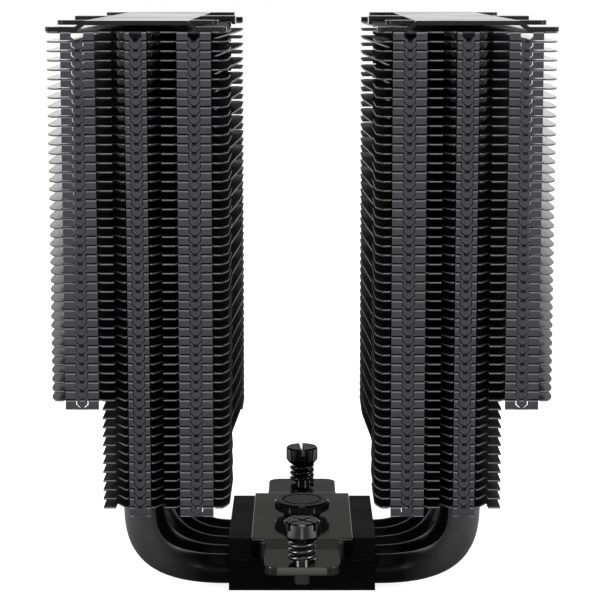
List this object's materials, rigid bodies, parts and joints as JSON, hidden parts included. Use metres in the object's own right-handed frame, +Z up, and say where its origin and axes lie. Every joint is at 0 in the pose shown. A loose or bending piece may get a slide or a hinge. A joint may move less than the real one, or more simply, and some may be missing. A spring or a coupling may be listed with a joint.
{
  "type": "cpu tower cooler",
  "caption": "All-black dual-tower air cooler heatsink for a computer processor, with heat pipes, stacked fins and a sprung mounting crossbar, without fans.",
  "frame": {"origin": "centre of the base plate's contact face, which presses on the processor", "axes": "+Z up, away from the processor; X is the air-flow direction, across the two towers; Y runs along the fins' depth, with the front at -Y"},
  "size_m": [0.124, 0.138, 0.1556],
  "materials": {
    "nickel_black_satin": "satin black plated",
    "block_black": "satin black coated",
    "pipe_black": "glossy black plated",
    "fin_black": "satin black coated",
    "cover_black": "glossy black coated",
    "bar_black_nickel": "mirror black nickel",
    "screw_black": "glossy black zinc",
    "spring_steel": "oiled black steel",
    "knob_black": "glossy black plated",
    "foot_steel": "turned steel"
  },
  "bodies": {
    "heatsink": {"base_plate": "nickel_black_satin", "base_cap": "block_black", "heat_pipe_1": "pipe_black", "heat_pipe_2": "pipe_black", "heat_pipe_3": "pipe_black", "heat_pipe_4": "pipe_black", "heat_pipe_5": "pipe_black", "left_fins_wide": "fin_black", "left_fin_step": "fin_black", "left_fins_narrow": "fin_black", "left_fin_bottom": "fin_black", "left_top_cover": "cover_black", "right_fins_wide": "fin_black", "right_fin_step": "fin_black", "right_fins_narrow": "fin_black", "right_fin_bottom": "fin_black", "right_top_cover": "cover_black", "crossbar": "bar_black_nickel"},
    "front_screw_slider": {"front_screw_clip": "spring_steel", "front_spring": "spring_steel"},
    "front_screw_body": {"front_screw": "screw_black"},
    "rear_screw_slider": {"rear_screw_clip": "spring_steel", "rear_spring": "spring_steel"},
    "rear_screw_body": {"rear_screw": "screw_black"},
    "pressure_foot_body": {"pressure_foot": "foot_steel"},
    "pressure_knob_body": {"pressure_knob": "knob_black"}
  },
  "joints": [
    {"name": "front_screw_press", "type": "slide", "parent": "heatsink", "child": "front_screw_slider", "axis": [0, 0, -1], "range_m": [0, 0.0012], "deforming": ["front_spring"]},
    {"name": "front_screw_turn", "type": "hinge", "parent": "front_screw_slider", "child": "front_screw_body", "pos_m": [0, -0.0415, 0.02], "axis": [0, 0, 1], "continuous": true},
    {"name": "rear_screw_press", "type": "slide", "parent": "heatsink", "child": "rear_screw_slider", "axis": [0, 0, -1], "range_m": [0, 0.0012], "deforming": ["rear_spring"]},
    {"name": "rear_screw_turn", "type": "hinge", "parent": "rear_screw_slider", "child": "rear_screw_body", "pos_m": [0, 0.0415, 0.02], "axis": [0, 0, 1], "continuous": true},
    {"name": "pressure_foot_lift", "type": "slide", "parent": "heatsink", "child": "pressure_foot_body", "axis": [0, 0, 1], "range_m": [0, 0.00161]},
    {"name": "pressure_knob_turn", "type": "hinge", "parent": "pressure_foot_body", "child": "pressure_knob_body", "pos_m": [0, 0, 0.015], "axis": [0, 0, 1], "range_deg": [0, 720]}
  ],
  "couplings": [
    {"joint": "pressure_foot_lift", "follows": "pressure_knob_turn", "m_per_rad": 0.0001273}
  ]
}
